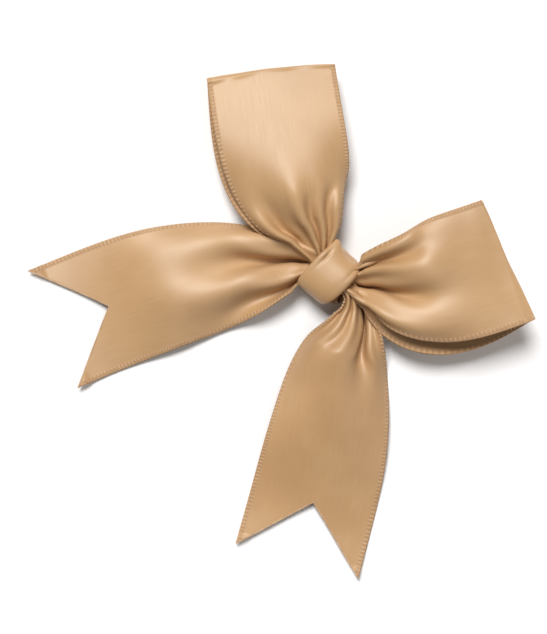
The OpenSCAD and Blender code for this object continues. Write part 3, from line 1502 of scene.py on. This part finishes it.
@dataclass
class Knot:
    """The knot: a band wrapped round the gathered strands, and the strand behind it.

    Attributes:
        back_half: half the width of the strand behind the knot.
        lean: how far the wrap leans sideways between its lower and its upper end.
        bulge: how far its front stands sideways.
        lap: angles round the knot at which the wrap starts and ends, in degrees.
        rows: rows of the mesh round the wrap and along the strand behind it.
        corner: how far the wrap's upper corner at -X stands out, then its angle and its size.
        rolls: radii of the wrap's rolls at -X and at +X.
        crown: how far the wrap's face slopes down at its edges, in radians.
        back_narrowing: how much narrower the strand behind is at its ends, on either side.
        back_rise: how far it rises towards its ends.
        back_y: its place along Y.
        back_rolls: radii of its rolls at -Y and at +Y.
        back_crown: how far its face slopes down at its edges, in radians.
        face_edge: where across the wrap its face ends, and where its rolls begin.
        ripple: height of the soft ripple of its face, then radians per millimetre across and per
            radian round the knot.
        fullness: power by which the wrap widens towards its front; below 1 it widens early.
        strand_room: room between the gathered strands and the outside of the wrap, along Y and Z.
        strand_lift: how far their middle lies above the wrap's.
    """

    back_half: float = 3.3
    lean: float = 0.35
    bulge: float = 0.2
    lap: tuple[float, float] = (-100.0, 262.0)
    rows: tuple[int, int] = (170, 70)
    corner: tuple[float, float, float] = (0.8, 0.42, 0.24)
    rolls: tuple[float, float] = (0.5, 0.62)
    crown: float = 0.34
    back_narrowing: float = 0.9
    back_rise: float = 1.1
    back_y: float = -0.2
    back_rolls: tuple[float, float] = (0.2, 0.28)
    back_crown: float = 0.1
    face_edge: tuple[float, float] = (3.2, 4.4)
    ripple: tuple[float, float, float] = (0.14, 0.55, 1.9)
    fullness: float = 0.75
    strand_room: tuple[float, float] = (2.0, 1.6)
    strand_lift: float = 0.1

    def wrap_cloth(self) -> Cloth:
        """The wrap as one cloth, once round the knot and lapped behind it.

        Returns:
            The cloth.
        """
        start, stop = (math.radians(end) for end in self.lap)
        angle = np.linspace(start, stop, self.rows[0])
        cosine, sine = np.cos(angle), np.sin(angle)
        y, z = WRAP.outline(angle)
        x = self.lean * cosine + self.bulge * np.clip(sine, 0, 1)
        path = np.stack([x, y, z], axis=1)
        forward = unit(np.gradient(path, axis=0))
        out = unit(np.cross(forward, np.array([1.0, 0.0, 0.0])))
        front = np.clip(sine, 0, 1)
        upper, lower = WRAP.side_half
        side = (upper + lower) / 2 + (upper - lower) / 2 * cosine
        half = side + (WRAP.wrap_half - side) * front**self.fullness
        wider, corner_at, corner_size = self.corner
        corner = wider * spot(angle, corner_at, corner_size)
        sideways, height = rolled_section((half + corner, half), self.rolls, self.crown)
        u = STOCK.across[None, :]
        turn = angle[:, None]
        face = (1 - smooth(np.abs(u), *self.face_edge)) * front[:, None]
        deep, wide, round_it = self.ripple
        soft = deep * np.sin(u * wide + (turn - math.pi / 2) * round_it)
        height = height + (soft + SLIT.at(u, turn) + RIM.at(u, turn)) * face + LIP.at(u, turn)
        right = np.array([1.0, 0.0, 0.0])
        grid = path[:, None] + sideways[..., None] * right + height[..., None] * out[:, None]
        grid[..., 1] += TIP.at(u, turn) + SCOOP.at(u, turn)
        return Cloth(grid)

    def back_cloth(self) -> Cloth:
        """The strand behind the knot as one cloth, from mouth to mouth.

        Returns:
            The cloth.
        """
        high = box_mm("knot_back")[1]
        reach = high[0] - STOCK.thickness
        t = np.linspace(-1, 1, self.rows[1])
        x = reach * np.sin(t * math.pi / 2)
        z = STOCK.thickness / 2 + 0.02 + self.back_rise * smooth(np.abs(t), 0.52, 1.0) ** 1.4
        path = np.stack([x, np.full_like(x, self.back_y), z], axis=1)
        forward = unit(np.gradient(path, axis=0))
        left = np.broadcast_to(np.array([0.0, 1.0, 0.0]), path.shape)
        half = self.back_half - self.back_narrowing * smooth(np.abs(t), 0.5, 1.0)
        sideways, height = rolled_section((half, half), self.back_rolls, self.back_crown)
        up = np.cross(forward, left)
        grid = path[:, None] + sideways[..., None] * left[:, None] - height[..., None] * up[:, None]
        return Cloth(grid[::-1])

    @staticmethod
    def strands_tree() -> bpy.types.NodeTree:
        """A bundle of gathered strands whose section is a squared oval with pleats in it.

        Returns:
            The geometry tree.
        """
        tree, nodes, source = new_group(
            "gathered strands",
            "GeometryNodeTree",
            {
                "Geometry": "Geometry",
                "Length": "Float",
                "Half Size": "Vector",
                "Centre": "Vector",
                "Pleats": "Float",
                "Pleat Depth": "Float",
                "Twist": "Float",
                "Material": "Material",
            },
            {"Geometry": "Geometry"},
        )
        fineness = {"Vertices": 160, "Side Segments": 16, "Fill Segments": 3}
        tube = nodes.add("GeometryNodeMeshCylinder", {**fineness, "Radius": 1.0})
        nodes.fill(tube, {"Depth": source.outputs["Length"]})
        place = nodes.add("ShaderNodeSeparateXYZ", {0: nodes.add("GeometryNodeInputPosition").outputs[0]})
        size = nodes.add("ShaderNodeSeparateXYZ", {0: source.outputs["Half Size"]})
        turn = nodes.math("ARCTAN2", place.outputs["Y"], place.outputs["X"])
        twist = nodes.math("MULTIPLY", place.outputs["Z"], source.outputs["Twist"])
        phase = nodes.math("ADD", nodes.math("MULTIPLY", turn, source.outputs["Pleats"]), twist)
        depth = nodes.math("MULTIPLY", nodes.math("SINE", phase), source.outputs["Pleat Depth"])
        swell = nodes.math("ADD", 1.0, depth)
        moved = nodes.add("ShaderNodeCombineXYZ", {"X": place.outputs["Z"]})
        for end, start in (("Y", "X"), ("Z", "Y")):
            swollen = nodes.math("MULTIPLY", place.outputs[start], swell)
            nodes.fill(moved, {end: nodes.math("MULTIPLY", swollen, size.outputs[end])})
        centred = nodes.add("ShaderNodeVectorMath", operation="ADD")
        nodes.fill(centred, {0: moved.outputs[0], 1: source.outputs["Centre"]})
        shape = nodes.add("GeometryNodeSetPosition", {"Geometry": tube.outputs["Mesh"]})
        nodes.fill(shape, {"Position": centred.outputs[0]})
        round_it = nodes.math("MULTIPLY", turn, 4.0)
        along_it = nodes.math("DIVIDE", place.outputs["Z"], MM)
        flat = nodes.add("ShaderNodeCombineXYZ", {"X": round_it, "Y": along_it})
        mark = nodes.add("GeometryNodeStoreNamedAttribute", data_type="FLOAT2", domain="CORNER")
        nodes.fill(mark, {"Geometry": shape.outputs[0], "Name": RIBBON_UV, "Value": flat.outputs[0]})
        nodes.end_geometry(mark.outputs[0], source.outputs["Material"])
        return tree

    def strands(self, yarn: bpy.types.Material) -> bpy.types.Object:
        """The gathered strands inside the wrap.

        Args:
            yarn: their material.

        Returns:
            The bundle as a plain mesh.
        """
        low, high = box_mm("knot_wrap")
        mesh = bpy.data.meshes.new("gathered_strands")
        mesh.from_pydata([(0, 0, 0)], [], [])
        half = (high - low) / 2 - np.array([0, *self.strand_room])
        centre = np.array([0, (low[1] + high[1]) / 2, (low[2] + high[2]) / 2 + self.strand_lift])
        values = {
            "Length": (2 * min(WRAP.side_half) - 0.3) * MM,
            "Half Size": tuple(half * MM),
            "Centre": tuple(centre * MM),
            "Pleats": 13.0,
            "Pleat Depth": 0.07,
            "Twist": 60.0,
            "Material": yarn,
        }
        return grow("gathered_strands", mesh, self.strands_tree(), values)

    def build(self, shop: Workshop, seed: int) -> list[bpy.types.Object]:
        """Builds and dresses the knot.

        Args:
            shop: finishes and trim.
            seed: not used.

        Returns:
            The knot's pieces.
        """
        made = []
        stretches = (
            ("knot_wrap_ribbon", self.wrap_cloth(), "knot_wrap", "folded", ["knot_core"]),
            ("knot_back_ribbon", self.back_cloth(), "knot_back", "folded", ["knot_wrap_ribbon"]),
        )
        for name, cloth, node, held, rests_on in stretches:
            ribbon = cloth.make(name)
            ribbon.data.materials.append(shop.wardrobe.satin)
            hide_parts(node)
            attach(ribbon, "knot")
            made.append(ribbon)
        strands = self.strands(shop.wardrobe.satin)
        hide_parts("knot_core")
        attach(strands, "knot")
        return [*made, strands]


# ---- studio ----------------------------------------------------------------------------------


@dataclass(frozen=True)
class Sun:
    """One even light, as soft as it looks wide.

    Attributes:
        name: its name.
        toward: where it stands, in degrees from the picture's right-hand side.
        elevation: its angle above the floor, in degrees.
        width: how wide it looks from the bow, in degrees.
        strength: its strength.
    """

    name: str
    toward: float
    elevation: float
    width: float
    strength: float


@dataclass
class Studio:
    """Camera straight above the bow, a pale floor and soft light from the upper left.

    Attributes:
        roll: how far the picture's right-hand side is turned from +X, in degrees.
        lens: focal length.
        margin: width of the picture against the bow's own.
        aspect: width of the picture against its height.
        floor_half: half the floor's size, in metres.
        floor_colour: linear colour of the floor.
        air_colour: linear colour of the light all round.
        air: strength of that light, and what the camera sees on top of it.
        suns: the other lights.
    """

    roll: float = 40.0
    lens: float = 85.0
    margin: float = 1.16
    aspect: float = 547 / 634
    floor_half: float = 3.0
    floor_colour: tuple[float, float, float, float] = (0.90, 0.89, 0.885, 1)
    air_colour: tuple[float, float, float, float] = (1.0, 0.985, 0.965, 1)
    air: tuple[float, float] = (0.18, 0.87)
    suns: tuple[Sun, ...] = (Sun("key", 108, 58, 26, 3.45), Sun("fill", -30, 50, 60, 0.45))

    def direction(self, degrees: float) -> Vector:
        """Unit vector in the floor, at an angle from +X."""
        return Vector((math.cos(math.radians(degrees)), math.sin(math.radians(degrees)), 0))

    def camera(self) -> bpy.types.Object:
        """Sets the camera above the middle of the bow.

        Returns:
            The camera.
        """
        right, up = self.direction(self.roll), self.direction(self.roll + 90)
        points = [v.co for node in frame["nodes"].values() for v in node.data.vertices]
        spans = [(min(p @ axis for p in points), max(p @ axis for p in points)) for axis in (right, up)]
        centre = sum((axis * sum(span) / 2 for axis, span in zip((right, up), spans)), Vector())
        wide, tall = (span[1] - span[0] for span in spans)
        height = max(wide * self.margin / self.aspect, tall * self.margin)
        data = bpy.data.cameras.new("camera")
        data.lens = self.lens
        data.dof.use_dof = False
        camera = bpy.data.objects.new("camera", data)
        distance = height * self.lens / data.sensor_width
        camera.location = centre + Vector((0, 0, distance))
        camera.rotation_euler = (0, 0, math.radians(self.roll))
        data.clip_start, data.clip_end = distance * 0.01, distance * 50
        bpy.context.scene.collection.objects.link(camera)
        bpy.context.scene.camera = camera
        return camera

    def light(self, sun: Sun) -> None:
        """Adds one light.

        Args:
            sun: the light.
        """
        data = bpy.data.lights.new(sun.name, "SUN")
        data.angle, data.energy = math.radians(sun.width), sun.strength
        light = bpy.data.objects.new(sun.name, data)
        level = math.radians(sun.elevation)
        back = self.direction(self.roll + sun.toward) * math.cos(level) + Vector((0, 0, math.sin(level)))
        light.location = back
        light.rotation_euler = back.to_track_quat("Z", "Y").to_euler()
        bpy.context.scene.collection.objects.link(light)

    def floor(self) -> bpy.types.Object:
        """Lays a plain pale floor under the bow.

        Returns:
            The floor.
        """
        mesh = bpy.data.meshes.new("floor")
        size = self.floor_half
        corners = [(-size, -size, 0), (size, -size, 0), (size, size, 0), (-size, size, 0)]
        mesh.from_pydata(corners, [], [(0, 1, 2, 3)])
        floor = new_piece("floor", mesh)
        paint, nodes, shader = new_material("pale floor", self.floor_colour)
        nodes.fill(shader, {"Base Color": self.floor_colour, "Roughness": 0.9, "Specular IOR Level": 0.1})
        mesh.materials.append(paint)
        return floor

    def world(self) -> None:
        """Sets the surroundings: dim light all round, plain white where the camera looks at them."""
        world = bpy.data.worlds.new("studio")
        world.use_nodes = True
        nodes = Nodes(world.node_tree)
        seen = nodes.add("ShaderNodeLightPath").outputs["Is Camera Ray"]
        around, behind = self.air
        strength = nodes.math("ADD", around, nodes.math("MULTIPLY", seen, behind))
        nodes.fill(world.node_tree.nodes["Background"], {"Color": self.air_colour, "Strength": strength})
        bpy.context.scene.world = world

    def build(self) -> None:
        """Sets the whole studio."""
        self.camera()
        self.floor()
        self.world()
        for sun in self.suns:
            self.light(sun)
        bpy.context.scene.view_settings.view_transform = "Standard"


# ---- the bow ---------------------------------------------------------------------------------


def the_arms() -> list[Arm]:
    """The bow's four arms.

    Returns:
        Two loops and two tails.
    """
    return [
        Loop(
            name="left_loop",
            joint="left_loop_lift",
            entry=(0.45, 0.30, 0.14),
            pleats=(
                Pleat(5, 2.5, 1.8, 5.5),
                Pleat(2.4, 5.6, 2.4, 8.5, 5.0),
                Pleat(3, -3.0, 0.6, 7.0, 4.0),
            ),
            arch=1.2,
            arch_from=12.0,
            root_shift=-1.3,
            sweep=0.8,
            gap=4.8,
            rise=-1.4,
            back_shift=1.0,
        ),
        Loop(
            name="right_loop",
            joint="right_loop_lift",
            entry=(0.45, 0.30, 0.14),
            pleats=(Pleat(5, -2.5, 1.8, 6.0), Pleat(2.5, -2.5, 2.0, 9.0), Pleat(1, -2.5, 1.1, 13.0)),
            root_shift=1.3,
            sweep=-1.2,
            gap=6.2,
            rise=3.4,
            back_shift=-2.4,
        ),
        Tail(
            name="left_tail",
            joint="left_tail_lift",
            entry=(0.5, -0.08, -0.50),
            pleats=(Pleat(4.6, -1.8, 1.2, 6.0), Pleat(2.3, -1.8, 2.0, 12.0), Pleat(1, -2.0, 0.5, 16.0)),
            mouth_half=4.0,
            mouth_at=-4.0,
            open_over=13.0,
            open_power=1.3,
            root_shift=-0.3,
            sweep=-2.1,
            wave=1.3,
            wave_at=0.6,
            tip_curl=0.6,
        ),
        Tail(
            name="right_tail",
            joint="right_tail_lift",
            entry=(0.60, 0.12, -0.50),
            pleats=(Pleat(5, 5.0, 1.2, 5.5), Pleat(2.3, 4.6, 3.0, 8.5, 4.6), Pleat(1, 5.0, 0.4, 9.0)),
            arch=1.5,
            arch_from=12.0,
            mouth_half=1.6,
            mouth_at=-4.0,
            open_over=12.5,
            open_power=1.2,
            root_shift=2.0,
            shift_fade=9.0,
            sweep=1.4,
            wave=1.2,
            wave_at=0.55,
            tip_curl=0.9,
        ),
    ]


def main() -> None:
    """Builds the studio and the bow, and reports each piece."""
    logging.basicConfig(level=logging.INFO, format="%(name)s: %(message)s")
    Studio().build()
    shop = Workshop(Wardrobe.build(), RibTrim(), CutBead())
    for seed, part in enumerate([Knot(), *the_arms()]):
        for piece in part.build(shop, seed):
            LOG.info("%s: %d faces", piece.name, len(piece.data.polygons))


if __name__ == "__main__":
    main()
